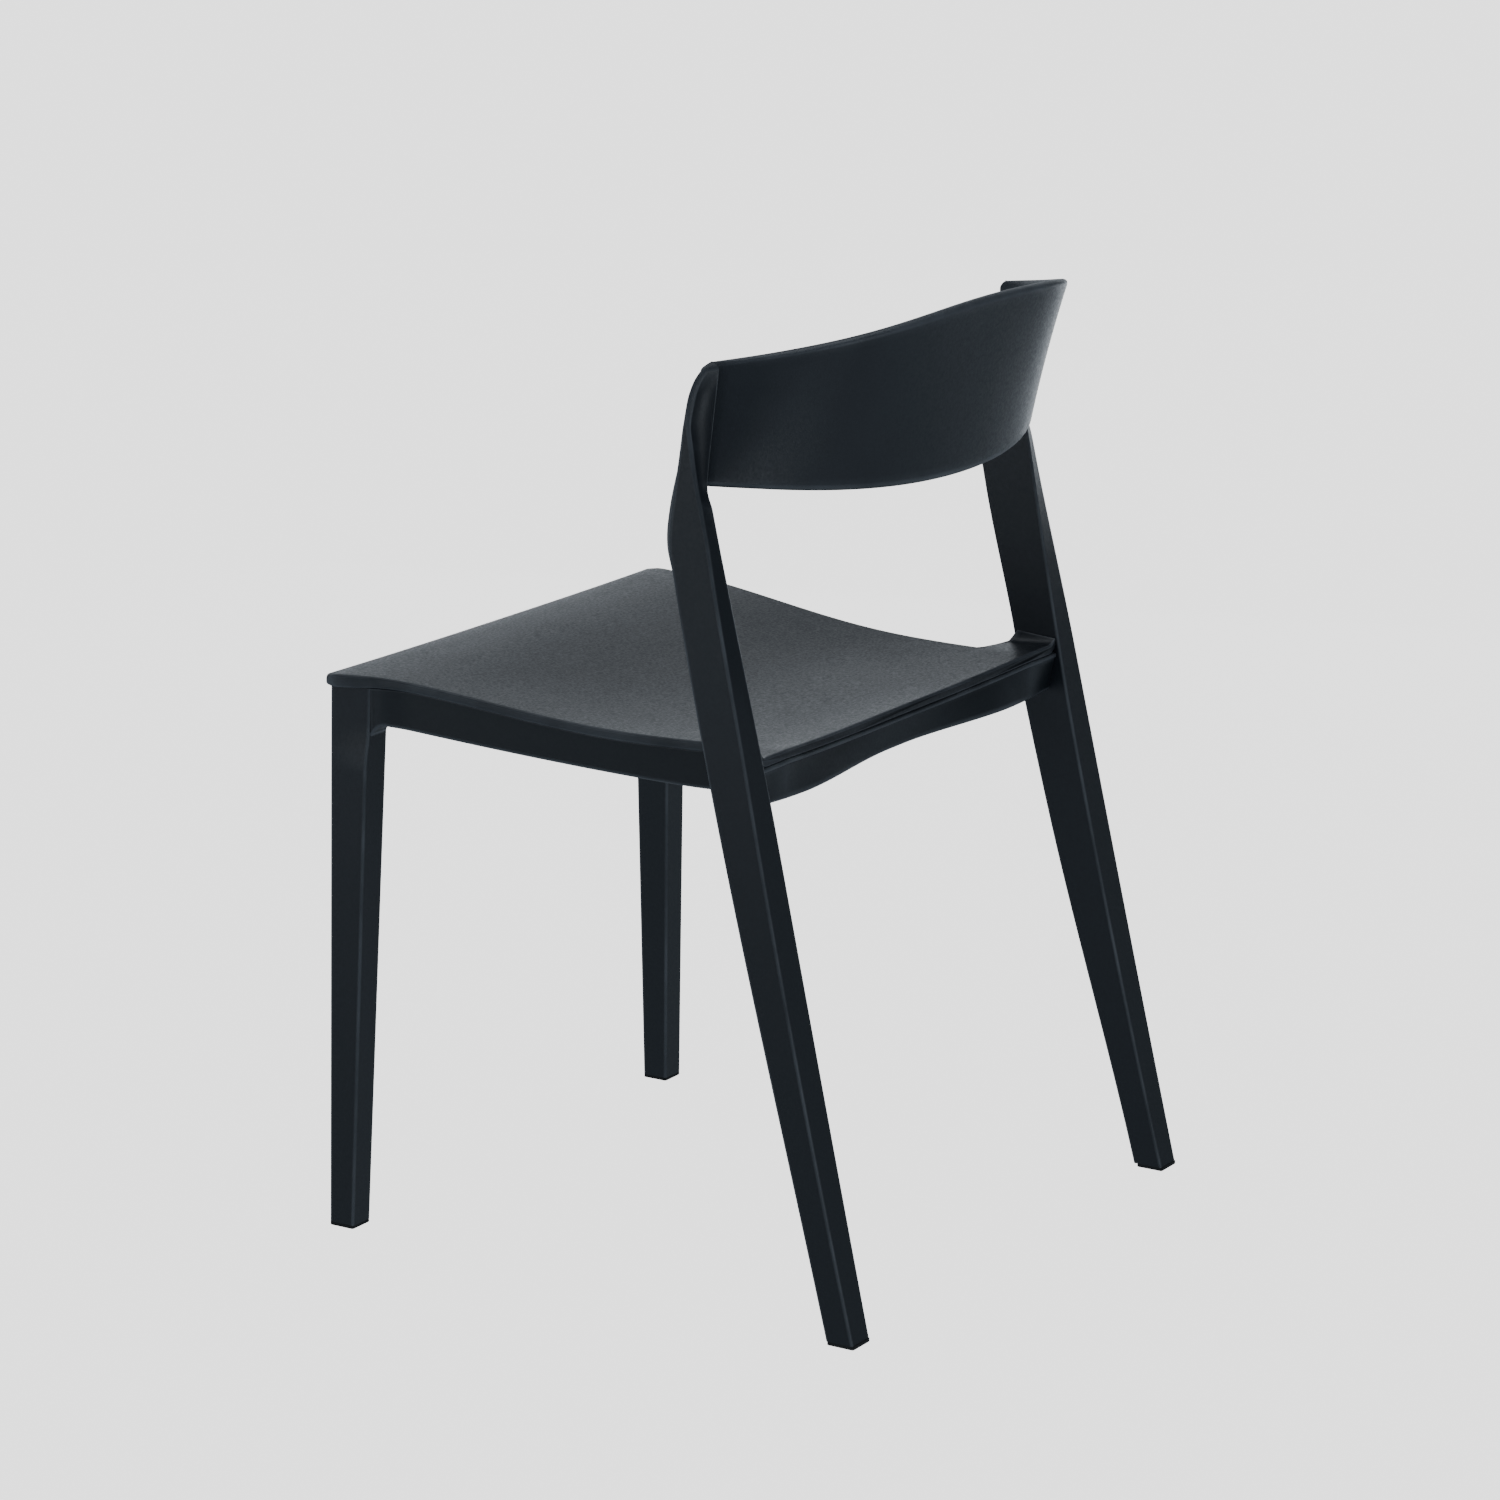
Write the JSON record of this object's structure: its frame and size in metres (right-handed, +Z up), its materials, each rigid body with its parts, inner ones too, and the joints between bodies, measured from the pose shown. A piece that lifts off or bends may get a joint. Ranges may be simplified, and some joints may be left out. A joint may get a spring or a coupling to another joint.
{
  "type": "stacking chair",
  "caption": "Stacking chair with a dished seat, splayed tapering legs, raked rear legs that rise into uprights and a wide curved back band.",
  "frame": {"origin": "on the floor, at the centre of the chair's bounding box", "axes": "+X is the sitter's left, +Y points to the back of the chair, +Z is up"},
  "size_m": [0.5226, 0.513, 0.7722],
  "materials": {
    "seat": "fine moulded grain",
    "back": "fine moulded grain",
    "frame": "fine moulded grain",
    "rails": "fine moulded grain",
    "braces": "plain moulded",
    "glides": "smooth",
    "screws": "zinc plated",
    "dowels": "ground"
  },
  "bodies": {
    "root": {"seat_shell": "seat", "backrest": "back", "left_front_leg": "frame", "right_front_leg": "frame", "left_rear_leg": "frame", "right_rear_leg": "frame", "front_rail": "rails", "rear_rail": "rails", "left_side_rail": "rails", "right_side_rail": "rails", "left_front_brace": "braces", "right_front_brace": "braces", "left_rear_brace": "braces", "right_rear_brace": "braces", "left_front_glide": "glides", "right_front_glide": "glides", "left_rear_glide": "glides", "right_rear_glide": "glides", "brace_screws": "screws", "seat_screws": "screws", "backrest_dowels": "dowels"}
  },
  "joints": []
}
